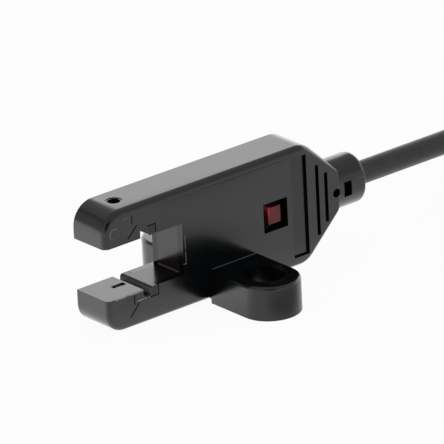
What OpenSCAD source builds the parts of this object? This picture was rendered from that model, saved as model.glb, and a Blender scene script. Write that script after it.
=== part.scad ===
// Fork sensor: a light barrier in a moulded U-shaped case with two mounting ears and a fixed cable.
// Origin: middle of the two mounting holes, on the plane that the ears stand on.
// +X runs from the fork towards the cable, -Y is the front with the lamp, +Z is up.

/* [Body] */
// Line of the mounting holes to the fork tips
front_reach = 14.85; // [14:0.05:17]
// Line of the mounting holes to the flat end of the tail
rear_reach = 12.95; // [12.5:0.05:15]
// Height of the body, across both arms
body_h = 11.6; // [11.4:0.1:13]
// Thickness of the body
body_t = 4.4; // [4.2:0.1:5.2]
// Height of the flat end of the tail
tail_end_h = 3.7; // [3.4:0.05:4.5]
// Height of the tail end's middle over the slot's middle
tail_rise = 0.18; // [0:0.02:0.3]
// Radius of the body's corners
corner_r = 2.2; // [1.8:0.1:2.6]
// Radius of the two corners at the tail's end
tail_r = 1; // [0.9:0.1:1.4]
// Radius of the rounded edge round the front face
edge_r = 0.65; // [0.3:0.05:0.7]
// Radius of the rounded edge at the tail's end
tail_edge_r = 0.3; // [0.2:0.05:0.6]
// Radius of the fork's lower corner
low_corner_r = 1.85; // [1.6:0.05:2.2]
// Radius of the rounded edge along the underside
low_edge_r = 0.42; // [0.3:0.02:0.6]
// Thickness of the case's walls
wall = 0.7; // [0.6:0.05:0.8]
// Thickness of the rear cover
cover_t = 0.7; // [0.5:0.05:0.8]
// Width of the ledge that the rear cover seats on
ledge_w = 0.35; // [0.25:0.05:0.4]

/* [Slot] */
// Width of the slot between the arms
slot_w = 5; // [4.6:0.1:5.1]
// Depth of the slot, from the fork tips
slot_depth = 8.95; // [8.5:0.05:9.4]
// Length of the plain land at each fork tip
tip_l = 4.15; // [4:0.05:4.4]
// Thickness of the wall between a tip's land and the space behind it
tip_wall = 1.3; // [1.2:0.05:1.35]
// Width of the groove between a tip and the liner
groove_w = 0.85; // [0.6:0.05:1]
// Depth of that groove
groove_d = 0.7; // [0.4:0.05:0.8]
// Thickness of the slot liner
liner_t = 0.9; // [0.7:0.05:1]
// Length of the liner's tabs that come through to both faces
tab_l = 0.87; // [0.7:0.01:1.2]
// Radius of the liner's end edges
liner_r = 0.3; // [0.1:0.05:0.4]
// Radius in the liner's two inner corners
liner_in_r = 0.14; // [0.08:0.02:0.2]

/* [Light barrier] */
// Fork tips to the light beam
beam_setback = 3.2; // [3:0.05:3.4]
// Beam's place across the thickness, from the middle
beam_y = 0.2; // [-0.2:0.05:0.25]
// Length of the slit in front of each element
slit_l = 1.45; // [1:0.05:1.6]
// Width of that slit
slit_w = 0.6; // [0.3:0.05:0.8]
// Depth of the light guide's face in the slit
slit_sunk = 0.25; // [0.15:0.05:0.5]
// Diameter of the blind hole over the upper element
top_hole_d = 1.2; // [0.8:0.05:1.3]
// Depth of that hole
top_hole_h = 0.45; // [0.3:0.05:0.5]
// Diameter of the shallow rim round it
top_rim_d = 1.55; // [1.4:0.05:1.8]
// Length of an element's package
element_l = 3; // [2.6:0.1:3.2]
// Width of an element's package
element_w = 2.2; // [1.8:0.1:2.4]
// Height of an element's package
element_h = 0.9; // [0.7:0.05:1]
// Diameter of an element's lens
element_lens_d = 1.2; // [0.8:0.1:1.4]
// Height of an element's lens
element_lens_h = 0.2; // [0.1:0.05:0.3]
// Width of an element's lead
lead_w = 0.24; // [0.16:0.02:0.28]
// Thickness of an element's lead
lead_t = 0.2; // [0.1:0.05:0.25]
// Distance between an element's two leads
lead_pitch = 0.54; // [0.44:0.02:0.6]

/* [Ears] */
// Width of the front ear
front_ear_w = 5.8; // [5.2:0.1:6.6]
// Middle of the body to the end of the front ear
front_ear_reach = 10; // [9.5:0.1:11]
// Width of the rear ear
rear_ear_w = 5.2; // [4.8:0.1:6]
// Middle of the body to the end of the rear ear
rear_ear_reach = 9.7; // [9.2:0.1:10.6]
// Height of the ears
ear_h = 3.25; // [2.8:0.05:3.3]
// Height of the body's underside over the ears' feet
foot_h = 0.45; // [0.2:0.05:0.8]
// Distance between the two mounting holes
hole_pitch = 12.7; // [12.2:0.1:13.2]
// Width of a mounting hole
hole_w = 3.2; // [2.6:0.1:3.6]
// Length of a mounting hole, along the thickness
hole_l = 4.2; // [3.8:0.1:4.6]
// Radius of the rounded edge round an ear's top
ear_edge_r = 0.3; // [0.15:0.05:0.4]
// Radius of the fillet between an ear's top and the body
root_r = 0.1; // [0.06:0.02:0.3]

/* [Lamp] */
// Tail's end to the middle of the lamp window
lamp_back = 7.83; // [7.75:0.01:8.35]
// Width of the window
window_w = 2.85; // [2.4:0.05:3]
// Height of the window
window_h = 2.85; // [2.2:0.05:3]
// Width of the lens
lens_w = 1.45; // [1.2:0.05:1.8]
// Height of the lens
lens_h = 1.6; // [1.2:0.05:1.7]
// Depth of the lens's front under the front face
lens_sunk = 0.2; // [0.1:0.05:0.5]
// Width of the lamp's base
lamp_base_w = 2; // [1.8:0.1:2.4]
// Height of the lamp's base
lamp_base_h = 1.7; // [1.6:0.1:2]
// Thickness of the lamp's base
lamp_base_t = 0.6; // [0.4:0.05:0.8]

/* [Tail face] */
// Tail's end to the middle of the recessed panel
panel_back = 4.9; // [4.7:0.05:5]
// Width of the panel
panel_w = 1.85; // [1.4:0.05:1.9]
// Height of the panel
panel_h = 9.8; // [8:0.1:9.9]
// Depth of the panel
panel_d = 0.28; // [0.1:0.02:0.4]
// Tail's end to the middle of the long groove
long_groove_back = 2.75; // [2.6:0.05:3]
// Length of the long groove
long_groove_h = 6.9; // [5:0.1:7]
// Tail's end to the middle of the short groove
short_groove_back = 1.71; // [1.6:0.01:1.8]
// Length of the short groove
short_groove_h = 4.85; // [3:0.05:5]
// Width of both grooves
tail_groove_w = 0.4; // [0.2:0.05:0.5]
// Depth of both grooves
tail_groove_d = 0.4; // [0.2:0.05:0.5]
// Tail's end to the middle of the small round hole
pip_back = 0.48; // [0.3:0.02:0.6]
// Diameter of the small round hole
pip_d = 0.86; // [0.5:0.02:0.9]
// Depth of the small round hole
pip_h = 0.5; // [0.3:0.05:0.55]

/* [Cable] */
// Thickness of the oval collar
collar_t = 4.36; // [3.8:0.02:4.38]
// Height of the oval collar
collar_h = 4.9; // [4.4:0.05:5.2]
// Length of the collar past the tail's end
collar_l = 3.33; // [2.8:0.01:4]
// Radius of the collar's end edge
collar_r = 0.54; // [0.3:0.02:0.8]
// Tail's end to the middle of the window in the collar
vent_x = 0.95; // [0.6:0.05:1.2]
// Length of that window
vent_l = 0.9; // [0.6:0.05:1]
// Height of that window
vent_h = 1.45; // [1:0.05:1.6]
// Diameter of the cable
cable_d = 2.2; // [2:0.05:2.4]
// Diameter of one of the cable's cores
core_d = 0.7; // [0.6:0.05:0.75]
// Distance between cores at the cable's end
core_pitch = 0.8; // [0.76:0.02:0.9]
// Length of the ring crimped on the cable behind the collar
clamp_l = 0.8; // [0.5:0.05:1]
// Length of bare wire at the far end of each lead
strip_l = 4; // [2:0.5:5]

/* [Circuit] */
// Thickness of the circuit board
board_t = 0.8; // [0.6:0.05:1]
// Gap between the board's edge and the case
board_edge = 0.25; // [0.2:0.05:0.35]
// Tail's end to the board's edge
board_back = 4.95; // [4.8:0.05:5.1]
// Diameter of a board post
post_d = 1.4; // [1.2:0.1:1.6]
// Diameter of the pin on a board post
pin_d = 0.7; // [0.5:0.05:0.8]
// Distance of the posts from the board's edges
post_inset = 1.1; // [1:0.05:1.2]
// Length of the control chip's body
chip_l = 3; // [2.6:0.1:3.2]
// Height of the control chip's body
chip_h = 3; // [2.6:0.1:3.2]
// Thickness of the control chip
chip_t = 1; // [0.7:0.05:1.1]
// Length of the output transistor's body
transistor_l = 2.9; // [2.5:0.1:3.1]
// Height of the output transistor's body
transistor_h = 1.3; // [1.1:0.1:1.5]
// Thickness of the output transistor
transistor_t = 0.9; // [0.7:0.05:1.1]
// Length of a chip resistor or capacitor
smd_l = 1.6; // [1.2:0.1:1.7]
// Width of a chip resistor or capacitor
smd_w = 0.8; // [0.6:0.05:0.9]
// Thickness of a chip resistor
resistor_t = 0.45; // [0.3:0.05:0.6]
// Thickness of a chip capacitor
capacitor_t = 0.8; // [0.5:0.05:1]
// Diameter of a solder joint
joint_d = 0.7; // [0.5:0.05:0.75]
// Height of a solder joint
joint_h = 0.3; // [0.2:0.05:0.4]

/* [Fits] */
// Gap round pieces that are pushed into place
fit_gap = 0.05; // [0.02:0.01:0.06]
// Width of the seam round the liner's tabs
seam_gap = 0.1; // [0.06:0.01:0.12]
// Gap between the board and the rear cover
cover_gap = 0.1; // [0.05:0.05:0.2]
// Gap between an element's lens and the wall in front of it
element_gap = 0.1; // [0.05:0.05:0.15]

/* [Hidden] */
$fn = 48;
hull_fn = 32;
top_rim_h = 0.06;
past = 1;

mid_z = foot_h + body_h / 2;
front_y = -body_t / 2;
back_y = body_t / 2;
inner_front_y = front_y + wall;
inner_back_y = back_y - cover_t;
tip_x = -front_reach;
slot_x = tip_x + slot_depth;
groove_x = tip_x + tip_l;
liner_x = groove_x + groove_w;
tab_x = liner_x + tab_l;
half_slot = slot_w / 2;
beam_x = tip_x + beam_setback;
collar_x = rear_reach + collar_l;
tail_top = tail_rise + tail_end_h / 2;
tail_low = tail_end_h / 2 - tail_rise;
top_taper_x = rear_reach + tail_top - body_h / 2;
low_taper_x = rear_reach + tail_low - body_h / 2;
corner_shift = sqrt(2) - 1;

// Corner centres of the body's outline, each with its radius and that of its front edge.
corners = [
    [tip_x + low_corner_r, mid_z - body_h / 2 + low_corner_r, low_corner_r, low_edge_r],
    [tip_x + corner_r, mid_z + body_h / 2 - corner_r, corner_r, edge_r],
    [top_taper_x - corner_r * corner_shift, mid_z + body_h / 2 - corner_r, corner_r, edge_r],
    [low_taper_x - corner_r * corner_shift, mid_z - body_h / 2 + corner_r, corner_r, low_edge_r],
    [rear_reach - tail_r, mid_z + tail_top - tail_r * corner_shift, tail_r, tail_edge_r],
    [rear_reach - tail_r, mid_z - tail_low + tail_r * corner_shift, tail_r, tail_edge_r]
];

// Space in each arm, over or under the slot.
arm_space = body_h / 2 - wall - half_slot - tip_wall;
arm_in = half_slot + tip_wall;
element_in = arm_in + element_gap + element_lens_h;
guide_h = element_lens_h + element_gap + tip_wall - slit_sunk;

// Circuit board and what stands on it.
board_x0 = slot_x + liner_t + board_edge;
board_x1 = rear_reach - board_back;
board_half = body_h / 2 - wall - board_edge;
board_y1 = inner_back_y - cover_gap;
board_y0 = board_y1 - board_t;
pin_gap = fit_gap;
posts = [
    [board_x0 + post_inset, mid_z],
    [board_x1 - post_inset, mid_z + board_half - post_inset],
    [board_x1 - post_inset, mid_z - board_half + post_inset]
];
lamp_x = rear_reach - lamp_back;
lamp_tip_y = front_y + lens_sunk;
lamp_seat_y = board_y0 - lamp_base_t;
lead_land = 1;
lead_end_x = board_x0 + lead_land;
lead_shift = 0.15;
leg_w = 0.35;
leg_t = 0.15;
leg_reach = 0.5;
chip_legs = 4;
chip_in = 5.17;
side_in = 1.87;
resistor_back = 0.4;
capacitor_back = 2.3;
chip_rise = 2.2;
transistor_drop = 2.4;
side_rise = 2.2;
row_rise = 2.4;
row_pitch = 1.2;
pad_in = 0.6;
chip_spot = [board_x0 + chip_in, chip_rise];
transistor_spot = [board_x0 + chip_in, -transistor_drop];
resistor_rows = [-row_rise - row_pitch, -row_rise, row_rise, row_rise + row_pitch];
resistor_spots = concat(
    [for (z = resistor_rows) [lamp_x - resistor_back, z]],
    [[board_x0 + side_in, side_rise]]
);
capacitor_spots = [[board_x0 + side_in, -side_rise], [lamp_x - capacitor_back, 0]];
pad_x = board_x1 - pad_in;
pad_pitch = 1.2;

// Cable, its inner end and its cores there: place of each core and of its pad.
bore_r = cable_d / 2 + fit_gap;
clamp_x = rear_reach - wall - fit_gap;
clamp_r = min(-inner_front_y, inner_back_y, tail_low - wall * corner_shift) - fit_gap;
jacket_past = 0.3;
jacket_x = clamp_x - clamp_l - jacket_past;
core_y = board_y0 - core_d / 2;
core_spots = [[-1, -1], [1, -1], [1, 1], [-1, 1]];
tube_sides = 8;

// Free length of the cable, wound beside the sensor.
cable_route = [
    [jacket_x, 0, mid_z], [collar_x, 0, mid_z], [collar_x + 3, 0, mid_z], [22, 0, 6.25], [27.6, 0, 6.25],
    [29.6, 0, 6.46], [31.7, 0.01, 7.13], [33.7, 0.19, 7.77], [35.8, 0.6, 8], [37.5, 1.12, 8], [39.2, 1.6, 8]
];
coil_turns = 3.138;
coil_layers = 4;
coil_mean = 12.21;
coil_lift = 0.3;
coil_h = coil_layers * cable_d;
coil_edge = coil_mean + coil_turns * cable_d / 2;
coil_in = coil_mean - (coil_turns + 1) * cable_d / 2;
coil_out = coil_edge + cable_d / 2;
coil_x = 42.7;
coil_y = -13.66;
tie_w = 2.5;
tie_t = coil_lift;
tie_gap = 0.1;
tail_y = coil_y - coil_edge;
tail_end = [27, tail_y + 1.2, cable_d / 2];
tail_route = [
    [39.7, tail_y, 1.4], [37.5, tail_y + 0.15, 1.3], [34.5, tail_y + 0.75, tail_end[2]],
    [31, tail_end[1], tail_end[2]], tail_end
];
lead_z = core_d / 2;
lead_fan = [-0.65, 0.65, 1.9, -1.9];
lead_straight = 1.5;
lead_stations = [23, 19, 15.5, 12];
lead_tip_x = lead_stations[3];
lead_spread = 0.75;
lead_drop = 0.25;

// Sweep of a round tube along a route that never stands upright.
function unit(v) = v / norm(v);
function heading(route, i) = unit(route[min(i + 1, len(route) - 1)] - route[max(i - 1, 0)]);
function ring(route, i, radius) =
    let (ahead = heading(route, i), side = unit(cross([0, 0, 1], ahead)), up = cross(ahead, side))
    [for (k = [0 : tube_sides - 1])
        route[i] + radius * (cos(360 * k / tube_sides) * side + sin(360 * k / tube_sides) * up)];

module tube(route, d) {
    last = (len(route) - 1) * tube_sides;
    points = [for (i = [0 : len(route) - 1]) each ring(route, i, d / 2)];
    skin = [for (i = [0 : len(route) - 2], k = [0 : tube_sides - 1])
        let (a = i * tube_sides + k, b = i * tube_sides + (k + 1) % tube_sides)
        [a, a + tube_sides, b + tube_sides, b]];
    start = [[for (k = [0 : tube_sides - 1]) k]];
    end = [[for (k = [tube_sides - 1 : -1 : 0]) last + k]];
    polyhedron(points = points, faces = concat(skin, start, end));
}

// Turns a drawing in the XZ plane upright, from y0 to y1.
module slab(y0, y1) {
    translate([0, y1, 0]) rotate([90, 0, 0]) linear_extrude(y1 - y0) children();
}

// Box on the XZ plane, from y0 to y1, about a centre.
module block(centre, size, y0, y1) {
    slab(y0, y1) translate(centre) square(size, center = true);
}

// Body's outline, smaller by the inset all round.
module outline(inset) {
    hull() for (c = corners) translate([c[0], c[1]]) circle(c[2] - inset, $fn = hull_fn);
}

// Corner of the body as a turned post with a rounded front edge.
module corner_post(c) {
    edge = c[3];
    rim = [for (a = [0 : 15 : 90]) [c[2] - edge + edge * cos(a), -front_y - edge + edge * sin(a)]];
    translate([c[0], 0, c[1]]) rotate([90, 0, 0]) rotate_extrude($fn = hull_fn)
        polygon(concat([[0, -back_y], [c[2], -back_y]], rim, [[0, -front_y]]));
}

module body_form() {
    hull() for (c = corners) corner_post(c);
}

// Strip in the XZ plane on both sides of the slot, from the slot's face outwards.
module beside_slot(x0, x1, deep) {
    translate([x0, mid_z - half_slot - deep]) square([x1 - x0, slot_w + 2 * deep]);
}

// Half of an ear's section, with a rounded top edge.
module ear_half(width) {
    square([width / 2, ear_h - ear_edge_r]);
    square([width / 2 - ear_edge_r, ear_h]);
    translate([width / 2 - ear_edge_r, ear_h - ear_edge_r]) circle(ear_edge_r);
}

// Ear with a round end, drawn towards -Y, and the fillet where its top meets the body.
module ear(width, reach) {
    end_y = width / 2 - reach;
    flat = width - 2 * ear_edge_r;
    slab(end_y, 0) {
        ear_half(width);
        mirror([1, 0]) ear_half(width);
    }
    translate([0, end_y, 0]) rotate([0, 0, 180]) rotate_extrude(angle = 180) ear_half(width);
    translate([-flat / 2, front_y, ear_h]) rotate([90, 0, 90]) linear_extrude(flat)
        difference() {
            translate([-root_r, -root_r]) square([2 * root_r, 2 * root_r]);
            translate([-root_r, root_r]) circle(root_r);
        }
}

// Both ears, with feet that end at the body's faces.
module ears() {
    difference() {
        union() {
            ear(front_ear_w, front_ear_reach);
            mirror([0, 1, 0]) ear(rear_ear_w, rear_ear_reach);
        }
        slab(front_y, back_y) translate([-front_ear_w, -past]) square([2 * front_ear_w, past + foot_h]);
    }
}

module mounting_hole() {
    translate([0, 0, -past]) linear_extrude(ear_h + 2 * past) {
        square([hole_w, hole_l - hole_w], center = true);
        for (s = [-1, 1]) translate([0, s * (hole_l - hole_w) / 2]) circle(hole_w / 2);
    }
}

// Oval sleeve for the cable, with a rounded end edge. It starts inside the tail's slopes.
module collar() {
    start = rear_reach + tail_low - collar_h / 2 - tail_edge_r;
    flat = collar_x - start - collar_r;
    rim = [for (a = [0 : 15 : 90]) [collar_t / 2 - collar_r + collar_r * cos(a), flat + collar_r * sin(a)]];
    hull() for (s = [-1, 1])
        translate([start, 0, mid_z + s * (collar_h - collar_t) / 2]) rotate([0, 90, 0])
            rotate_extrude($fn = hull_fn)
                polygon(concat([[0, 0], [collar_t / 2, 0]], rim, [[0, collar_x - start]]));
}

// Space inside the case, open to the back, room for the elements, and the ledge for the rear cover.
module inner_space() {
    slab(inner_front_y, back_y + past) difference() {
        outline(wall);
        beside_slot(tip_x - past, liner_x, tip_wall);
    }
    slab(inner_front_y, back_y + past)
        both_sides() translate([beam_x, mid_z - element_in - element_h / 2])
            square([element_l + 2 * fit_gap, element_h + 2 * fit_gap], center = true);
    slab(inner_back_y, back_y + past) difference() {
        outline(ledge_w);
        beside_slot(tip_x - past, tab_x, tip_wall - ledge_w);
    }
}

module slot_cuts() {
    slab(front_y - past, back_y + past) {
        beside_slot(tip_x - past, slot_x, 0);
        beside_slot(groove_x, liner_x, groove_d);
        beside_slot(liner_x - fit_gap, tab_x + seam_gap, liner_t + seam_gap);
    }
}

module beam_cuts() {
    translate([beam_x, beam_y, mid_z])
        cube([slit_l, slit_w, 2 * (arm_in + arm_space / 2)], center = true);
    translate([beam_x, beam_y, mid_z + body_h / 2 - top_hole_h]) cylinder(d = top_hole_d, h = past);
    translate([beam_x, beam_y, mid_z + body_h / 2 - top_rim_h]) cylinder(d = top_rim_d, h = past);
}

module face_cuts() {
    block([lamp_x, mid_z], [window_w, window_h], front_y - past, inner_front_y + past / 2);
    block([rear_reach - panel_back, mid_z], [panel_w, panel_h], front_y - past, front_y + panel_d);
    block([rear_reach - long_groove_back, mid_z], [tail_groove_w, long_groove_h],
        front_y - past, front_y + tail_groove_d);
    block([rear_reach - short_groove_back, mid_z], [tail_groove_w, short_groove_h],
        front_y - past, front_y + tail_groove_d);
    slab(front_y - past, front_y + pip_h) translate([rear_reach - pip_back, mid_z]) circle(d = pip_d);
}

module cable_cuts() {
    translate([clamp_x - past / 2, 0, mid_z]) rotate([0, 90, 0]) cylinder(r = bore_r, h = collar_x);
    block([rear_reach + vent_x, mid_z], [vent_l, vent_h], front_y - past, 0);
}

// Posts with pins that carry the circuit board.
module board_posts() {
    for (p = posts) {
        slab(inner_front_y - wall / 2, board_y0) translate(p) circle(d = post_d);
        slab(board_y0 - past / 4, board_y1) translate(p) circle(d = pin_d);
    }
}

module case() {
    color([0.07, 0.07, 0.075]) {
        difference() {
            union() {
                body_form();
                ears();
                collar();
            }
            slot_cuts();
            inner_space();
            beam_cuts();
            face_cuts();
            cable_cuts();
            for (s = [-1, 1]) translate([0, s * hole_pitch / 2, 0]) mounting_hole();
        }
        board_posts();
    }
}

module rear_cover() {
    color([0.09, 0.09, 0.095])
        slab(inner_back_y, back_y) difference() {
            outline(ledge_w + fit_gap);
            beside_slot(tip_x - past, tab_x + fit_gap, tip_wall - ledge_w + fit_gap);
            beside_slot(tip_x - past, slot_x, 0);
        }
}

// One leg of the liner in the XZ plane, under the slot, with a rounded end edge.
module liner_leg(length) {
    low = mid_z - half_slot - liner_t;
    translate([liner_x, low]) square([length, liner_t - liner_r]);
    translate([liner_x + liner_r, low]) square([length - liner_r, liner_t]);
    translate([liner_x + liner_r, low + liner_t - liner_r]) circle(liner_r);
}

// Rounded inner corner between the leg and the wall at the slot's end.
module liner_corner() {
    translate([slot_x, mid_z - half_slot]) difference() {
        translate([-liner_in_r, -liner_in_r]) square(2 * liner_in_r);
        translate([-liner_in_r, liner_in_r]) circle(liner_in_r);
    }
}

// A drawing in the XZ plane on both sides of the slot.
module both_sides() {
    children();
    translate([0, 2 * mid_z]) mirror([0, 1]) children();
}

module slot_liner() {
    color([0.05, 0.05, 0.06]) {
        slab(inner_front_y, inner_back_y) {
            both_sides() liner_leg(slot_x + liner_t - liner_x);
            both_sides() liner_corner();
            translate([slot_x, mid_z - half_slot - liner_t]) square([liner_t, slot_w + 2 * liner_t]);
        }
        slab(front_y, back_y) both_sides() liner_leg(tab_l);
    }
}

module circuit_board() {
    color([0.1, 0.35, 0.18])
        slab(board_y0, board_y1) difference() {
            translate([board_x0, mid_z - board_half]) square([board_x1 - board_x0, 2 * board_half]);
            for (p = posts) translate(p) circle(d = pin_d + 2 * pin_gap);
        }
}

// Chip on the board's front, about a place whose height is measured from the slot's middle.
module on_board(spot, size, thick) {
    block(spot + [0, mid_z], size, board_y0 - thick, board_y0);
}

module control_chip() {
    color([0.12, 0.12, 0.13]) {
        on_board(chip_spot, [chip_l, chip_h], chip_t);
        pitch = chip_h / chip_legs;
        for (i = [0 : chip_legs - 1])
            on_board(chip_spot + [0, (i - (chip_legs - 1) / 2) * pitch],
                [chip_l + 2 * leg_reach, leg_w], leg_t);
    }
}

module output_transistor() {
    color([0.12, 0.12, 0.13]) {
        on_board(transistor_spot, [transistor_l, transistor_h], transistor_t);
        for (leg = [[-1, -1], [1, -1], [0, 1]])
            on_board(transistor_spot + [leg[0] * transistor_l / 3, leg[1] * transistor_h / 2],
                [leg_w, 2 * leg_reach], leg_t);
    }
}

module chip_resistors() {
    color([0.08, 0.08, 0.09]) for (p = resistor_spots) on_board(p, [smd_l, smd_w], resistor_t);
}

module chip_capacitors() {
    color([0.65, 0.5, 0.35]) for (p = capacitor_spots) on_board(p, [smd_l, smd_w], capacitor_t);
}

module indicator_lamp() {
    color([0.85, 0.83, 0.78]) block([lamp_x, mid_z], [lamp_base_w, lamp_base_h], lamp_seat_y, board_y0);
}

module indicator_lens() {
    color([0.8, 0.1, 0.12]) block([lamp_x, mid_z], [lens_w, lens_h], lamp_tip_y, lamp_seat_y);
}

// Light element in the lower arm: a package with a round lens and a light guide that fills the slit.
module element() {
    translate([beam_x, beam_y, mid_z - element_in - element_h]) {
        translate([-element_l / 2, -element_w / 2]) cube([element_l, element_w, element_h]);
        translate([0, 0, element_h / 2]) cylinder(d = element_lens_d, h = element_h / 2 + element_lens_h);
        translate([fit_gap - slit_l / 2, fit_gap - slit_w / 2, element_h / 2])
            cube([slit_l - 2 * fit_gap, slit_w - 2 * fit_gap, element_h / 2 + guide_h]);
    }
}

module element_leads() {
    x0 = beam_x + element_l / 2;
    z = mid_z - arm_in - arm_space / 2 + lead_shift;
    for (s = [-1, 1])
        block([(x0 + lead_end_x) / 2, z + s * lead_pitch / 2], [lead_end_x - x0, lead_w],
            board_y0 - lead_t, board_y0);
}

// The same piece in the other arm.
module other_arm() {
    translate([0, 0, 2 * mid_z]) mirror([0, 0, 1]) children();
}

module emitter() {
    color([0.55, 0.6, 0.75]) element();
}

module emitter_leads() {
    color([0.8, 0.8, 0.8]) element_leads();
}

module receiver() {
    color([0.12, 0.1, 0.14]) other_arm() element();
}

module receiver_leads() {
    color([0.8, 0.8, 0.8]) other_arm() element_leads();
}

module solder_joint(x, z) {
    translate([x, board_y0, z]) rotate([90, 0, 0]) cylinder(d1 = joint_d, d2 = joint_d / 2, h = joint_h);
}

module solder_joints() {
    lead_mid = arm_in + arm_space / 2 - lead_shift;
    reach = joint_d / 2 + fit_gap;
    color([0.75, 0.75, 0.76]) {
        for (s = [-1, 1])
            solder_joint(lead_end_x + reach, mid_z + s * lead_mid);
        for (i = [0 : len(core_spots) - 1])
            solder_joint(pad_x - reach, mid_z + (i - 1.5) * pad_pitch);
    }
}

// Core of the cable inside the case, from the cable's inner end to its pad.
module core(i) {
    spot = core_spots[i] * core_pitch / 2;
    pad_z = mid_z + (i - 1.5) * pad_pitch;
    run = (jacket_x - pad_x) / 5;
    tube([
        [jacket_x, spot[0], mid_z + spot[1]],
        [jacket_x - run, spot[0], mid_z + spot[1]],
        [jacket_x - 2.5 * run, spot[0], pad_z],
        [pad_x + run, core_y, pad_z],
        [pad_x, core_y, pad_z]
    ], core_d);
}

module core_brown() {
    color([0.35, 0.18, 0.08]) core(0);
}

module core_black() {
    color([0.05, 0.05, 0.05]) core(1);
}

module core_blue() {
    color([0.1, 0.25, 0.7]) core(2);
}

module core_pink() {
    color([0.9, 0.55, 0.6]) core(3);
}

module cable_clamp() {
    color([0.7, 0.7, 0.7])
        translate([clamp_x - clamp_l, 0, mid_z]) rotate([0, 90, 0]) difference() {
            cylinder(r = clamp_r, h = clamp_l);
            translate([0, 0, -past]) cylinder(r = bore_r, h = clamp_l + 2 * past);
        }
}

module cable() {
    color([0.12, 0.12, 0.13]) tube(cable_route, cable_d);
}

module cable_coil() {
    color([0.12, 0.12, 0.13])
        translate([coil_x, coil_y, coil_lift]) rotate_extrude()
            translate([coil_in, 0]) square([coil_out - coil_in, coil_h]);
}

module coil_tie() {
    color([0.2, 0.2, 0.2])
        translate([coil_x, coil_y, 0]) rotate([90, 0, 0]) linear_extrude(tie_w, center = true)
            difference() {
                translate([coil_in - tie_gap - tie_t, 0])
                    square([coil_out - coil_in + tie_gap + 2 * tie_t, coil_h + coil_lift + tie_t]);
                translate([coil_in - tie_gap, tie_t]) square([coil_out - coil_in + tie_gap, coil_h]);
            }
}

module cable_tail() {
    color([0.12, 0.12, 0.13]) tube(tail_route, cable_d);
}

// Core at the cable's far end, which comes out of the cut cable and lies on the floor.
module far_lead(i) {
    spot = core_spots[i] * core_pitch / 2;
    start = tail_end + [0, spot[0], spot[1]];
    side = tail_end[1] + lead_fan[i];
    bend_y = start[1] + (side - start[1]) * lead_spread;
    bend_z = start[2] + (lead_z - start[2]) * lead_drop;
    tube([
        start,
        start - [lead_straight, 0, 0],
        [lead_stations[0], bend_y, bend_z],
        [lead_stations[1], side, lead_z],
        [lead_stations[2], side, lead_z],
        [lead_tip_x, side, lead_z]
    ], core_d);
}

module lead_brown() {
    color([0.35, 0.18, 0.08]) far_lead(0);
}

module lead_black() {
    color([0.05, 0.05, 0.05]) far_lead(1);
}

module lead_blue() {
    color([0.1, 0.25, 0.7]) far_lead(2);
}

module lead_pink() {
    color([0.9, 0.55, 0.6]) far_lead(3);
}

module bare_ends() {
    color([0.8, 0.78, 0.72])
        for (y = lead_fan) translate([lead_tip_x - strip_l, tail_end[1] + y, lead_z]) rotate([0, 90, 0])
            cylinder(d = core_d / 2, h = strip_l);
}

case();
rear_cover();
slot_liner();
circuit_board();
control_chip();
output_transistor();
chip_resistors();
chip_capacitors();
indicator_lamp();
indicator_lens();
emitter();
emitter_leads();
receiver();
receiver_leads();
solder_joints();
core_brown();
core_black();
core_blue();
core_pink();
cable_clamp();
cable();
cable_coil();
coil_tie();
cable_tail();
lead_brown();
lead_black();
lead_blue();
lead_pink();
bare_ends();
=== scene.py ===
import bpy
import math
from mathutils import Matrix, Vector


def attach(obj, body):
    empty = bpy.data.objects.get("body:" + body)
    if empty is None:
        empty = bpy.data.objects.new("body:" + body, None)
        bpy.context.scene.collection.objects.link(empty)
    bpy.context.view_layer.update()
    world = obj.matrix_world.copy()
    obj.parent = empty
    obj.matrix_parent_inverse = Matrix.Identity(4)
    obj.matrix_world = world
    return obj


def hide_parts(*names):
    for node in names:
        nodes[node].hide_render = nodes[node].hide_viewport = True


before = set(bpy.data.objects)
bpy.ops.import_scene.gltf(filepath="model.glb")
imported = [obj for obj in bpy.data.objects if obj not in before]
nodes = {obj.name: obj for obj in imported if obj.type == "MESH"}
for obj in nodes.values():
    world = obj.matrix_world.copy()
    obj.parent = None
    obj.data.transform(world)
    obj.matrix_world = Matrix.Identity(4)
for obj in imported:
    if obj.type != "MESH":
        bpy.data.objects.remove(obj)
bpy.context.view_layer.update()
scene = bpy.context.scene
scene.view_settings.view_transform = "Standard"
mm = 0.001
print("frame loaded:", len(nodes), "nodes")

# camera: stands where the photograph was taken from, 700 mm away with a long lens
cameraView = {
    "eye": (-0.407162, -0.505905, 0.273984),
    "right": (0.76555, -0.64168, -0.04667),
    "up": (0.27799, 0.2645, 0.92345),
    "back": (-0.58022, -0.71992, 0.38087),
    "lens": 625.25,
    "sensor": 36,
    "clip": (0.01, 20),
}


def makeCamera(v):
    data = bpy.data.cameras.new("photoCamera")
    data.lens = v["lens"]
    data.sensor_width = v["sensor"]
    data.clip_start, data.clip_end = v["clip"]
    camera = bpy.data.objects.new("photoCamera", data)
    rows = zip(v["right"], v["up"], v["back"])
    camera.matrix_world = Matrix.Translation(v["eye"]) @ Matrix([list(r) for r in rows]).to_4x4()
    scene.collection.objects.link(camera)
    scene.camera = camera


makeCamera(cameraView)
print("camera placed")

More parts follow.
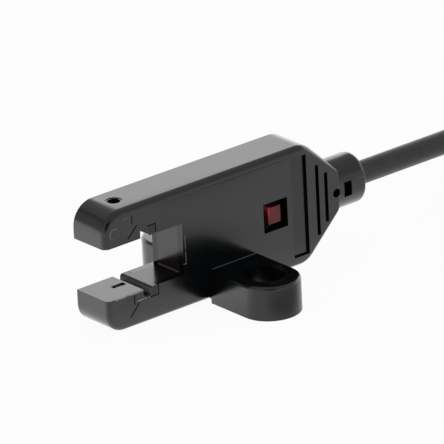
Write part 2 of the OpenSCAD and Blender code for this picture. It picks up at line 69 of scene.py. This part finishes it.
# cable: straight out of the collar, up on to the top layer of its coil, down through four layers to bare leads
cableLay = {
    "diameter": 2.2,
    "length": 1.0,
    "exit": (16.28, 0, 6.25),
    "innerX": (11.1, 13.7, 16.28),  # the stretch inside the case, up to the collar's end
    "rise": (27.6, 35.8),  # x where it starts and stops to rise
    "swing": 20,  # radius of its bend towards the coil
    "coilMiddle": (42.7, -13.66),
    "meanRadius": 12.21,
    "turnsPerLayer": 3.138,
    "layers": 4,
    "topZ": 8,
    "stepDown": 0.22,  # turns before and after a layer's end in which it steps down
    "pointsPerTurn": 36,
    "tail": [(39.7, 0, 1.4), (37.5, 0.15, 1.3), (34.5, 0.75, 1.1), (31, 1.2, 1.1), (27, 1.2, 1.1)],
}


def smoothStep(t):
    t = min(max(t, 0), 1)
    return t * t * (3 - 2 * t)


def coilPoints(c, startAngle):
    half = c["turnsPerLayer"] * c["diameter"] / 2
    total = c["turnsPerLayer"] * c["layers"]
    count = round(total * c["pointsPerTurn"])
    points = []
    for k in range(count + 1):
        t = total * k / count
        layer = min(int(t / c["turnsPerLayer"]), c["layers"] - 1)
        part = t / c["turnsPerLayer"] - layer
        inward = part if layer % 2 == 0 else 1 - part
        radius = c["meanRadius"] + half * (1 - 2 * inward)
        drop = sum(smoothStep((t - n * c["turnsPerLayer"] + c["stepDown"]) / (2 * c["stepDown"]))
                   for n in range(1, c["layers"]))
        angle = startAngle - 2 * math.pi * t
        points.append((c["coilMiddle"][0] + radius * math.cos(angle),
                       c["coilMiddle"][1] + radius * math.sin(angle),
                       c["topZ"] - c["diameter"] * drop))
    return points


def eased(points, steps):  # rounds a coarse route into a smooth one that keeps its points
    dense = []
    for i in range(len(points) - 1):
        before, start, end, after = (Vector(points[min(max(i + k, 0), len(points) - 1)]) for k in (-1, 0, 1, 2))
        bend = 2 * before - 5 * start + 4 * end - after
        twist = 3 * start - before - 3 * end + after
        for s in range(steps):
            t = s / steps
            dense.append(tuple(0.5 * (2 * start + (end - before) * t + bend * t ** 2 + twist * t ** 3)))
    return dense + [tuple(points[-1])]


def cablePoints(c):
    coilX, coilY = c["coilMiddle"]
    edge = c["meanRadius"] + c["turnsPerLayer"] * c["diameter"] / 2
    reach = math.sqrt((c["swing"] + edge) ** 2 - (c["swing"] - coilY) ** 2)
    share = c["swing"] / (c["swing"] + edge)
    bendX, meetX = coilX - reach, coilX - reach * (1 - share)
    meetY = c["swing"] - (c["swing"] - coilY) * share
    startX, _, startZ = c["exit"]
    points = []
    for k in range(30):
        x = startX + (meetX - startX) * k / 30
        u = min(max((x - c["rise"][0]) / (c["rise"][1] - c["rise"][0]), 0), 1)
        lift = 2 * u * u if u < 0.5 else 1 - 2 * (1 - u) ** 2
        y = c["swing"] - math.sqrt(c["swing"] ** 2 - max(x - bendX, 0) ** 2)
        points.append((x, y, startZ + (c["topZ"] - startZ) * lift))
    points += coilPoints(c, math.atan2(meetY - coilY, meetX - coilX))
    tail = [points[-1]] + [(x, coilY - edge + y, z) for x, y, z in c["tail"]]
    return points[:-1] + eased(tail, 4)


def curveTube(name, points, diameter, sides=6):
    data = bpy.data.curves.new(name, "CURVE")
    data.dimensions = "3D"
    data.bevel_depth = 1
    data.bevel_resolution = sides
    data.use_fill_caps = True
    data.resolution_u = 1
    line = data.splines.new("POLY")
    line.points.add(len(points) - 1)
    for point, place in zip(line.points, points):
        point.co = (*(x * mm for x in place), 1)
        point.radius = diameter * mm / 2
    line.use_smooth = True
    piece = bpy.data.objects.new(name, data)
    scene.collection.objects.link(piece)
    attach(piece, "root")
    return piece


def trimmed(points, length):  # cuts or stretches the last straight piece so that the cable has its stated length
    done = sum((Vector(b) - Vector(a)).length for a, b in zip(points, points[1:]))
    last = Vector(points[-1])
    way = (last - Vector(points[-2])).normalized()
    return points[:-1] + [tuple(last + way * (length - done))], length - done


cableLine, spare = trimmed(cablePoints(cableLay), cableLay["length"] / mm)
print("cable: last point moved by", round(spare, 2), "mm")
cable = curveTube("cord", cableLine, cableLay["diameter"])
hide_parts("cable", "cable_coil", "cable_tail")
cable.visible_glossy = False  # the case mirrors the studio and not the coil
innerLine = [(x, *cableLay["exit"][1:]) for x in cableLay["innerX"]]
innerCable = curveTube("cord_inside", innerLine, cableLay["diameter"])

# leads at the far end: four insulated cores that fan out on the floor
leadLay = {
    "diameter": 0.7,
    "pitch": 0.8,
    "start": (27, -28.1218, 1.1),
    "straight": 1.5,
    "stations": (23, 19, 15.5, 12),
    "spread": 0.75,
    "drop": 0.25,
    "cores": {"brown": (-1, -1, -0.65), "black": (1, -1, 0.65), "blue": (1, 1, 1.9), "pink": (-1, 1, -1.9)},
}


def makeLeads(v):
    leads = {}
    for colour, (acrossY, acrossZ, fan) in v["cores"].items():
        x, y, z = v["start"]
        y0, z0 = y + acrossY * v["pitch"] / 2, z + acrossZ * v["pitch"] / 2
        side, low = y + fan, v["diameter"] / 2
        a, b, c, d = v["stations"]
        route = [(x, y0, z0), (x - v["straight"], y0, z0),
                 (a, y0 + (side - y0) * v["spread"], z0 + (low - z0) * v["drop"]),
                 (b, side, low), (c, side, low), (d, side, low)]
        lying = [(px, py, max(pz, low)) for px, py, pz in eased(route, 6)]
        lead = curveTube("wire_" + colour, lying, v["diameter"], 4)
        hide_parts("lead_" + colour)
        leads[colour] = lead
    return leads


leads = makeLeads(leadLay)
print("cable and leads laid")


class Socket:  # wraps an output so that shader maths reads as plain expressions
    def __init__(self, tree, out):
        self.tree = tree
        self.out = out

    def math(self, kind, *values):
        return addNode(self.tree, "ShaderNodeMath", {"operation": kind}, dict(enumerate(values)))

    def __add__(self, other):
        return self.math("ADD", self, other)

    def __radd__(self, other):
        return self.math("ADD", other, self)

    def __sub__(self, other):
        return self.math("SUBTRACT", self, other)

    def __rsub__(self, other):
        return self.math("SUBTRACT", other, self)

    def __mul__(self, other):
        return self.math("MULTIPLY", self, other)

    def __rmul__(self, other):
        return self.math("MULTIPLY", other, self)

    def __truediv__(self, other):
        return self.math("DIVIDE", self, other)

    def __rtruediv__(self, other):
        return self.math("DIVIDE", other, self)

    def __abs__(self):
        return self.math("ABSOLUTE", self)

    def __pow__(self, other):
        return self.math("POWER", self, other)

    def atMost(self, other):
        return self.math("MINIMUM", self, other)

    def atLeast(self, other):
        return self.math("MAXIMUM", self, other)

    def sine(self):
        return self.math("SINE", self)

    def fraction(self):
        return self.math("FRACT", self)

    def between(self, low, high):  # 0 at low, 1 at high, eased
        return addNode(self.tree, "ShaderNodeMapRange", {"interpolation_type": "SMOOTHSTEP"},
                       {"Value": self, "From Min": low, "From Max": high, "To Min": 0.0, "To Max": 1.0})

    def near(self, middle, half, soft):  # 1 within half of the middle, 0 outside, with a soft edge
        return 1 - abs(self - middle).between(half - soft, half)

    def part(self, name):
        return Socket(self.tree, self.out.node.outputs[name])


def addNode(tree, kind, settings=None, inputs=None):
    node = tree.nodes.new(kind)
    for key, value in (settings or {}).items():
        setattr(node, key, value)
    for key, value in (inputs or {}).items():
        if isinstance(value, Socket):
            tree.links.new(value.out, node.inputs[key])
        elif isinstance(value, tuple) and len(value) == 3 and node.inputs[key].type == "RGBA":
            node.inputs[key].default_value = (*value, 1)
        else:
            node.inputs[key].default_value = value
    return Socket(tree, next((o for o in node.outputs if o.enabled), None) if node.outputs else None)


class Finish:  # one material: its tree, the places on the piece in millimetres, and the noises that finishes share
    def __init__(self, name):
        self.material = bpy.data.materials.new(name)
        self.material.use_nodes = True
        self.tree = self.material.node_tree
        self.tree.nodes.clear()
        place = self.node("ShaderNodeTexCoord").part("Object")
        self.place = self.node("ShaderNodeVectorMath", {"operation": "SCALE"}, {0: place, "Scale": 1000.0})
        split = self.node("ShaderNodeSeparateXYZ", None, {0: self.place})
        self.x, self.y, self.z = (split.part(axis) for axis in "XYZ")

    def node(self, kind, settings=None, inputs=None):
        return addNode(self.tree, kind, settings, inputs)

    def noise(self, scale, detail=3.0, rough=0.5, stretch=(1, 1, 1)):
        place = self.node("ShaderNodeVectorMath", {"operation": "MULTIPLY"}, {0: self.place, 1: stretch})
        return self.node("ShaderNodeTexNoise", None,
                         {"Vector": place, "Scale": scale, "Detail": detail, "Roughness": rough}).part("Fac")

    def mix(self, fac, a, b):
        return self.node("ShaderNodeMix", {"data_type": "RGBA"}, {0: fac, 6: a, 7: b})

    def bump(self, height, strength, distance):
        return self.node("ShaderNodeBump", None, {"Height": height, "Strength": strength, "Distance": distance})

    def stroke(self, start, end, width):  # 1 along a straight stroke seen from the front, 0 beside it
        (x0, z0), (x1, z1) = start, end
        length = math.hypot(x1 - x0, z1 - z0)
        wayX, wayZ = (x1 - x0) / length, (z1 - z0) / length
        along = ((self.x - x0) * wayX + (self.z - z0) * wayZ).atLeast(0).atMost(length)
        sideX, sideZ = self.x - x0 - along * wayX, self.z - z0 - along * wayZ
        return 1 - ((sideX * sideX + sideZ * sideZ) ** 0.5).between(0.3 * width, 0.7 * width)

    def ring(self, middle, radius, width, share):  # painted highlight ring, brighter on its upper left
        sideX, sideZ = self.x - middle[0], self.z - middle[1]
        line = 1 - abs((sideX * sideX + sideZ * sideZ) ** 0.5 - radius).between(0.3 * width, 0.7 * width)
        return share * line * (0.3 + 0.7 * (sideZ - sideX).between(-0.3, 0.5))

    def patch(self, area, soft):  # 1 inside a rectangle seen from the front
        middleX, middleZ, halfX, halfZ = area
        return self.x.near(middleX, halfX, soft) * self.z.near(middleZ, halfZ, soft)

    def plastic(self, **inputs):
        names = {"colour": "Base Color", "rough": "Roughness", "metal": "Metallic",
                 "normal": "Normal", "ior": "IOR"}
        return self.node("ShaderNodeBsdfPrincipled", None, {names[k]: v for k, v in inputs.items()})

    def dull(self, shader, fac, colour):  # lets a dull colour show through where fac is 1
        flat = self.node("ShaderNodeBsdfDiffuse", None, {"Color": colour})
        return self.node("ShaderNodeMixShader", None, {0: fac, 1: shader, 2: flat})

    def deepen(self, shader, share):  # a second reflection loses most of its light
        mirrored = self.node("ShaderNodeLightPath").part("Is Glossy Ray")
        return self.dull(shader, share * mirrored, (0.0, 0.0, 0.0))

    def done(self, shader):
        self.node("ShaderNodeOutputMaterial", None, {"Surface": shader})
        return self.material

    def shine(self, **inputs):
        return self.done(self.plastic(**inputs))


def dress(material, *pieces):
    for piece in pieces:
        target = nodes[piece] if isinstance(piece, str) else piece
        target.data.materials.clear()
        target.data.materials.append(material)


# rounded edges: the facets of a rounding run into each other, and flat faces stay flat
softEdges = {"weld": 0.001, "angle": 33}


def softenFacets(v, *names):
    for name in names:
        node = nodes[name]
        for face in node.data.polygons:
            face.use_smooth = True
        weld = node.modifiers.new("weld", "WELD")
        weld.merge_threshold = v["weld"] * mm
        crease = node.modifiers.new("crease", "EDGE_SPLIT")
        crease.split_angle = math.radians(v["angle"])
        crease.use_edge_sharp = False
        node.modifiers.new("even", "WEIGHTED_NORMAL")


softenFacets(softEdges, "case", "rear_cover", "slot_liner", "cable_clamp", "emitter", "receiver",
             "solder_joints", "bare_ends")

# moulded case: near-black satin plastic with a fine tool grain, soft flow clouds, mould lines and ejector marks;
# the marks, seams and some edges carry painted shade and painted highlights, and the slot's end wall and the
# collar's end edge carry painted shade
caseFinish = {
    "colour": (0.0022, 0.003, 0.004),
    "worn": (0.004, 0.0047, 0.0055),
    "rough": 0.19,
    "ior": 1.6,
    "echo": 0.9,  # how much of a second reflection is lost
    "cloud": (0.35, 4.0, 0.55),  # scale, detail and roughness of each noise
    "grain": (9.0, 2.0, 0.6),
    # noise that breaks up the painted highlight lines
    "highlightBreakup": (1.6, 3.0, 0.6),
    "wornRange": (0.35, 0.75),
    "highlightBreakupRange": (0.25, 0.5),
    "front": (-2.18, -2.08),  # y over which the marks of the front face fade out
    "panel": (8.05, 6.25, 0.92, 4.9),  # x and z of the recessed panel's middle, half its width and height
    "panelSoft": 0.04,
    "panelFloor": (-1.8, -1.7),
    "panelDark": 0.15,
    "slotEnd": (-5.9, 6.25, 0.04, 2.5),  # the same for the slot's end wall, which is darkened as painted shade
    "endSoft": 0.02,
    "endDark": 0.35,
    # painted shade: dark hairlines in the engraved ticks and strokes and along a mould seam, each a start, an end
    # and a width seen from the front
    "shadedCuts": [((-11.58, 10.44), (-11.58, 11.2), 0.13), ((-11.11, 10.09), (-12.11, 9.17), 0.16),
             ((-11.75, 2.67), (-11.75, 3.44), 0.13), ((-11.26, 2.61), (-12.26, 1.55), 0.16),
             ((-11.47, 2.97), (-9.07, 2.97), 0.09)],
    # painted highlights: light hairlines along the marks, a seam, the slot's end and the lower tip's edge
    "glints": [((-12.68, 11.05), (-11.65, 11.2), 0.08), ((-11.47, 2.87), (-9.07, 2.87), 0.09),
               ((-5.6, 4.9), (-5.6, 7.5), 0.1), ((-5.9, 4.75), (-5.55, 4.75), 0.08),
               ((-13.3, 3.72), (-10.75, 3.72), 0.08)],
    # brighter painted highlights along the front edge of the lower tip's land and along a seam
    "gleams": [((-13.9, 3.69), (-10.75, 3.69), 0.15), ((-11.4, 2.86), (-10.4, 2.87), 0.1)],
    # painted highlight rings round the ejector marks: middle, radius, width and share
    "rings": [((-13.67, 10.04), 0.48, 0.13, 1.2), ((-13.66, 3.1), 0.42, 0.12, 0.4)],
    # dark colour of the painted shade in the cuts and on the slot's end wall, and of the panel's darker tone
    "cutColour": (0.002, 0.002, 0.002),
    "cutShadeShare": 0.85,
    # colours and shares of the painted highlights
    "glintColour": (0.16, 0.16, 0.165),
    "glintShare": 0.85,
    "gleamColour": (0.5, 0.5, 0.51),
    "gleamShare": 0.7,
    "rim": (15.8, 16.0, 0.65),  # x over which the collar's end edge turns dull and dark, a painted shade that hides its highlight, and how much
    "rimShadeColour": (0.012, 0.012, 0.012),
}


def makeCasePlastic(v):
    f = Finish("case plastic")
    cloud, grain = f.noise(*v["cloud"]), f.noise(*v["grain"])
    highlightBreakup = f.noise(*v["highlightBreakup"]).between(*v["highlightBreakupRange"])  # breaks the painted highlight lines up
    front = 1 - f.y.between(*v["front"])
    panel = f.patch(v["panel"], v["panelSoft"]) * (1 - f.y.between(*v["panelFloor"]))
    slotEnd = f.patch(v["slotEnd"], v["endSoft"]) * (1 - front)
    shadedCuts = sum((f.stroke(*line) for line in v["shadedCuts"]), 0.0).atMost(1) * front
    glints = sum((f.stroke(*line) for line in v["glints"]), 0.0) + sum((f.ring(*r) for r in v["rings"]), 0.0)
    gleams = sum((f.stroke(*line) for line in v["gleams"]), 0.0).atMost(1)
    shader = f.plastic(colour=f.mix(cloud.between(*v["wornRange"]), v["colour"], v["worn"]), ior=v["ior"],
                       rough=v["rough"] + 0.05 * (cloud - 0.5) + 0.04 * (grain - 0.5),
                       normal=f.bump(grain + 0.6 * cloud, 0.12, 0.00002))
    # painted shade in the cuts and on the slot's end wall, and the panel's darker tone
    dark = (v["cutShadeShare"] * shadedCuts).atLeast(v["panelDark"] * panel).atLeast(v["endDark"] * slotEnd)
    shader = f.dull(shader, dark, v["cutColour"])
    # painted highlights on the front: light lines and rings, then the brighter lines
    shader = f.dull(shader, v["glintShare"] * highlightBreakup * glints.atMost(1) * front, v["glintColour"])
    shader = f.dull(shader, v["gleamShare"] * highlightBreakup * gleams * front, v["gleamColour"])
    # painted shade that dulls the collar's end edge and hides its highlight
    rimStart, rimEnd, rimShare = v["rim"]
    shader = f.dull(shader, rimShare * f.x.between(rimStart, rimEnd), v["rimShadeColour"])
    return f.done(f.deepen(shader, v["echo"]))


dress(makeCasePlastic(caseFinish), "case", "rear_cover")
print("case dressed")

# slot liner: filter plastic, black with a brown cast and fine lines along the slot
linerFinish = {
    "colour": (0.011, 0.0075, 0.0075),
    "deep": (0.016, 0.011, 0.011),
    "rough": 0.2,
    "ior": 1.48,
    "echo": 0.9,
    "cloud": (0.5, 3.0, 0.5),
    "drawn": (2.0, 2.0, 0.5, (0.3, 4, 1)),
    "end": (0.16, 0.143, 0.143),  # painted light on the pale ends of its legs, in the grooves beside the tips
    "litEndX": (-9.84, -9.78),
    "litEndShare": 0.85,
}


def makeLinerPlastic(v):
    f = Finish("liner plastic")
    cloud, drawn = f.noise(*v["cloud"]), f.noise(*v["drawn"])
    shader = f.plastic(colour=f.mix(cloud, v["colour"], v["deep"]), rough=v["rough"] + 0.04 * (drawn - 0.5),
                       ior=v["ior"], normal=f.bump(drawn, 0.05, 0.00001))
    shader = f.deepen(shader, v["echo"])
    # painted light on the ends of the legs
    return f.done(f.dull(shader, v["litEndShare"] * (1 - f.x.between(*v["litEndX"])), v["end"]))


dress(makeLinerPlastic(linerFinish), "slot_liner")

# cable jacket: dull grey-black vinyl with faint clouds and fine pores
jacketFinish = {"colour": (0.011, 0.011, 0.012), "pale": (0.018, 0.018, 0.019), "rough": 0.5, "ior": 1.56}


def makeJacket(v):
    f = Finish("cable jacket")
    cloud = f.noise(0.8, 3.0, 0.6)
    pores = f.noise(7.0, 2.0, 0.6)
    return f.shine(colour=f.mix(cloud.between(0.3, 0.7), v["colour"], v["pale"]), ior=v["ior"],
                   rough=v["rough"] + 0.1 * (pores - 0.5), normal=f.bump(pores, 0.15, 0.00003))


dress(makeJacket(jacketFinish), cable, innerCable)

# core insulation: four colours of soft vinyl
coreColours = {"brown": (0.1, 0.035, 0.012), "black": (0.012, 0.012, 0.013), "blue": (0.012, 0.05, 0.3),
               "pink": (0.7, 0.22, 0.26)}


def makeInsulation(name, colour):
    f = Finish(name + " insulation")
    cloud = f.noise(1.5, 3.0, 0.6)
    pores = f.noise(12.0, 2.0, 0.5)
    darker = tuple(0.8 * c for c in colour)
    return f.shine(colour=f.mix(cloud.between(0.3, 0.7), darker, colour), rough=0.38 + 0.1 * (pores - 0.5), ior=1.5,
                   normal=f.bump(pores, 0.1, 0.00002))


for colourName, shade in coreColours.items():
    dress(makeInsulation(colourName, shade), leads[colourName], "core_" + colourName)

# metals: tinned wire and solder, and the steel clamp
metals = {
    "tinned metal": ((0.62, 0.61, 0.58), (0.5, 0.49, 0.47), 0.3),  # pale, dull and roughness
    "steel": ((0.56, 0.57, 0.58), (0.45, 0.46, 0.47), 0.25),
}


def makeMetal(name, pale, dull, rough):
    f = Finish(name)
    cloud = f.noise(1.2, 4.0, 0.6)
    drawn = f.noise(6.0, 2.0, 0.5, (0.2, 1, 1))
    return f.shine(colour=f.mix(cloud.between(0.3, 0.7), pale, dull), metal=1.0, rough=rough + 0.15 * (cloud - 0.5),
                   normal=f.bump(drawn, 0.1, 0.00002))


tinned = makeMetal("tinned metal", *metals["tinned metal"])
dress(tinned, "bare_ends", "solder_joints", "emitter_leads", "receiver_leads")
dress(makeMetal("steel", *metals["steel"]), "cable_clamp")

# tie: ribbed black nylon round the coil
tieFinish = {"colour": (0.012, 0.012, 0.013), "ribs": 2.2}


def makeTie(v):
    f = Finish("tie nylon")
    rib = abs(((f.z + f.x) * v["ribs"]).fraction() - 0.5)
    cloud = f.noise(1.0, 3.0, 0.5)
    paler = tuple(1.5 * c for c in v["colour"])
    return f.shine(colour=f.mix(cloud, v["colour"], paler), rough=0.4 + 0.1 * (cloud - 0.5), ior=1.5,
                   normal=f.bump(rib, 0.4, 0.0001))


dress(makeTie(tieFinish), "coil_tie")

# lamp: red lens over a pale base, with painted highlights and glow along the lens's left edge, left side, top and
# upper left corner
lampFinish = {
    "red": (0.14, 0.004, 0.005),
    "deep": (0.09, 0.002, 0.003),
    "edge": (0.42, 0.03, 0.05),  # painted highlight along the lens's left edge, where it gathers light
    "edgeX": (4.46, 4.62),
    "edgeY": (-1.98, -1.7),
    "edgeZ": (5.9, 6.7),  # fades out towards the lower end
    # painted glow on the lens's left side and along its top
    "sideShare": 0.45,
    "sideX": (4.41, 4.44),
    "sideZ": (5.6, 7.0),
    "topX": (4.6, 4.9),
    "topZ": (6.98, 7.03),
    "corner": (1.0, 0.05, 0.08),  # painted highlight, brightest at the upper left
    "cornerX": (4.42, 4.75),
    "cornerZ": (6.55, 6.98),
    "base": (0.62, 0.6, 0.55),
}


def makeLens(v):
    f = Finish("red lens")
    cloud = f.noise(0.9, 2.0, 0.5)
    # painted highlights and glow on the lens: left edge, left side, top and upper left corner
    left = (1 - f.x.between(*v["edgeX"])) * (1 - f.y.between(*v["edgeY"])) * f.z.between(*v["edgeZ"])
    side = v["sideShare"] * (1 - f.x.between(*v["sideX"])) * f.z.between(*v["sideZ"])
    top = f.z.between(*v["topZ"]) * (1 - f.x.between(*v["topX"]))
    corner = (1 - f.x.between(*v["cornerX"])) * f.z.between(*v["cornerZ"]) * f.y.between(*v["edgeY"])
    colour = f.mix(cloud.between(0.3, 0.7), v["red"], v["deep"])
    colour = f.mix(left.atLeast(top).atLeast(side), colour, v["edge"])
    return f.shine(colour=f.mix(corner, colour, v["corner"]), rough=0.25 + 0.1 * (cloud - 0.5), ior=1.42,
                   normal=f.bump(cloud, 0.1, 0.00003))


def makeLampBase(v):
    f = Finish("lamp base")
    cloud = f.noise(2.0, 3.0, 0.5)
    darker = tuple(0.85 * c for c in v["base"])
    return f.shine(colour=f.mix(cloud, v["base"], darker), rough=0.45 + 0.1 * (cloud - 0.5), ior=1.5)


dress(makeLens(lampFinish), "indicator_lens")
dress(makeLampBase(lampFinish), "indicator_lamp")

# circuit: woven green board, dull black chips, ceramic and epoxy
# the emitter's epoxy is pale beige, made brighter than its own tone as painted light so that it shows through the
# shaded slit
circuitFinish = {"board": (0.012, 0.12, 0.045), "weave": (0.018, 0.17, 0.07), "chip": (0.014, 0.014, 0.015),
                 "resistor": (0.02, 0.02, 0.022), "capacitor": (0.32, 0.2, 0.11), "clear": (0.85, 0.8, 0.66),
                 "dark": (0.02, 0.014, 0.024)}


def makeBoard(v):
    f = Finish("board")
    weave = ((f.x * 14).sine() * (f.z * 14).sine() + 1) / 2
    return f.shine(colour=f.mix(weave, v["board"], v["weave"]), rough=0.3 + 0.1 * weave, ior=1.5,
                   normal=f.bump(weave, 0.1, 0.00002))


def makeMoulded(name, colour, rough):
    f = Finish(name)
    cloud = f.noise(1.5, 3.0, 0.6)
    grit = f.noise(14.0, 2.0, 0.6)
    paler = tuple(1.3 * c for c in colour)
    return f.shine(colour=f.mix(cloud, colour, paler), rough=rough + 0.12 * (grit - 0.5), ior=1.5,
                   normal=f.bump(grit, 0.1, 0.00002))


dress(makeBoard(circuitFinish), "circuit_board")
dress(makeMoulded("chip plastic", circuitFinish["chip"], 0.5), "control_chip", "output_transistor")
dress(makeMoulded("resistor glaze", circuitFinish["resistor"], 0.35), "chip_resistors")
dress(makeMoulded("capacitor ceramic", circuitFinish["capacitor"], 0.45), "chip_capacitors")
# the emitter's epoxy: pale beige, made brighter than its own tone as painted light so that it shows as a pale glint
# in the shaded slit above it
dress(makeMoulded("clear epoxy", circuitFinish["clear"], 0.3), "emitter")
dress(makeMoulded("dark epoxy", circuitFinish["dark"], 0.12), "receiver")
print("inner pieces dressed")

# studio: white floor that keeps a faint shadow, a wide soft box behind, and a grey room with the camera in front
studio = {
    "floorReach": 1.5,
    "floorColour": (0.8, 0.8, 0.8),
    "floorGlow": 1.0,
    "floorBack": 1.7,  # the floor behind the front face, nearer to the soft box
    "backStart": (-9, 1),
    "shade": (2, -14, 11, 5, 0.45),  # middle, half widths and strength of the soft shade beside the front ear
    "shadeFade": (0.35, 1.0),
    "shadowShare": 0.05,
    "mirrorShadow": 0.15,
    "roomLow": 0.8,
    "roomHigh": 0.52,
    "roomBack": 2.2,
    "backWay": (0.63, 0.78),
    "backFade": (0.0, 0.6),
    "backTop": (0.4, 0.54),
    "lowTop": (0.28, 0.42),
    "darkWays": [((-0.58, -0.72, 0.38), 0.03),  # camera
                 ((-0.58, 0.72, 0.38), 0.45)],  # gap beside the soft box
    "darkWidth": (0.9, 0.975),
    "roomLight": 0.75,
}


def makeFloor(v):
    mesh = bpy.data.meshes.new("studioFloor")
    reach = v["floorReach"]
    mesh.from_pydata([(-reach, -reach, 0), (reach, -reach, 0), (reach, reach, 0), (-reach, reach, 0)], [],
                     [(0, 1, 2, 3)])
    floor = bpy.data.objects.new("studioFloor", mesh)
    scene.collection.objects.link(floor)
    material = bpy.data.materials.new("studio floor")
    material.use_nodes = True
    tree = material.node_tree
    tree.nodes.clear()
    place = addNode(tree, "ShaderNodeSeparateXYZ", None, {0: addNode(tree, "ShaderNodeTexCoord").part("Object")})
    away = place.part("Y").between(*(mm * d for d in v["backStart"]))
    rays = addNode(tree, "ShaderNodeLightPath")
    camera = rays.part("Is Camera Ray")
    mirrored = rays.part("Is Glossy Ray").atLeast(rays.part("Is Transmission Ray"))
    seen = (camera * (1 - v["shadowShare"])).atLeast(mirrored * (1 - v["mirrorShadow"]))
    paper = addNode(tree, "ShaderNodeBsdfDiffuse", None, {"Color": v["floorColour"]})
    shadeX, shadeY, wideX, wideY, least = v["shade"]
    offX, offY = (place.part("X") / mm - shadeX) / wideX, (place.part("Y") / mm - shadeY) / wideY
    shade = (1 - least) * (1 - ((offX * offX + offY * offY) ** 0.5).between(*v["shadeFade"]))
    strength = v["floorGlow"] + (1 - camera) * (away * (v["floorBack"] - v["floorGlow"]) - shade)
    glow = addNode(tree, "ShaderNodeEmission", None, {"Color": (1.0, 1.0, 1.0), "Strength": strength})
    both = addNode(tree, "ShaderNodeMixShader", None, {0: seen, 1: paper, 2: glow})
    addNode(tree, "ShaderNodeOutputMaterial", None, {"Surface": both})
    mesh.materials.append(material)


def makeRoom(v):
    world = bpy.data.worlds.new("studioRoom")
    world.use_nodes = True
    tree = world.node_tree
    tree.nodes.clear()
    way = addNode(tree, "ShaderNodeTexCoord").part("Generated")
    split = addNode(tree, "ShaderNodeSeparateXYZ", None, {0: way})
    x, y, z = (split.part(axis) for axis in "XYZ")
    back = (x * v["backWay"][0] + y * v["backWay"][1]).between(*v["backFade"]) * (1 - z.between(*v["backTop"]))
    room = v["roomHigh"] + (1 - z.between(*v["lowTop"])) * (v["roomLow"] - v["roomHigh"])
    mirrored = room + back * (v["roomBack"] - room)
    for (wayX, wayY, wayZ), left in v["darkWays"]:
        mirrored = mirrored * (1 - (1 - left) * (x * wayX + y * wayY + z * wayZ).between(*v["darkWidth"]))
    rays = addNode(tree, "ShaderNodeLightPath")
    glossy = rays.part("Is Glossy Ray").atLeast(rays.part("Is Transmission Ray"))
    strength = glossy * mirrored + (1 - glossy) * v["roomLight"]
    camera = rays.part("Is Camera Ray")
    strength = camera + (1 - camera) * strength
    background = addNode(tree, "ShaderNodeBackground", None, {"Color": (1.0, 1.0, 1.0), "Strength": strength})
    addNode(tree, "ShaderNodeOutputWorld", None, {"Surface": background})
    scene.world = world


makeFloor(studio)
makeRoom(studio)
print("studio lit")
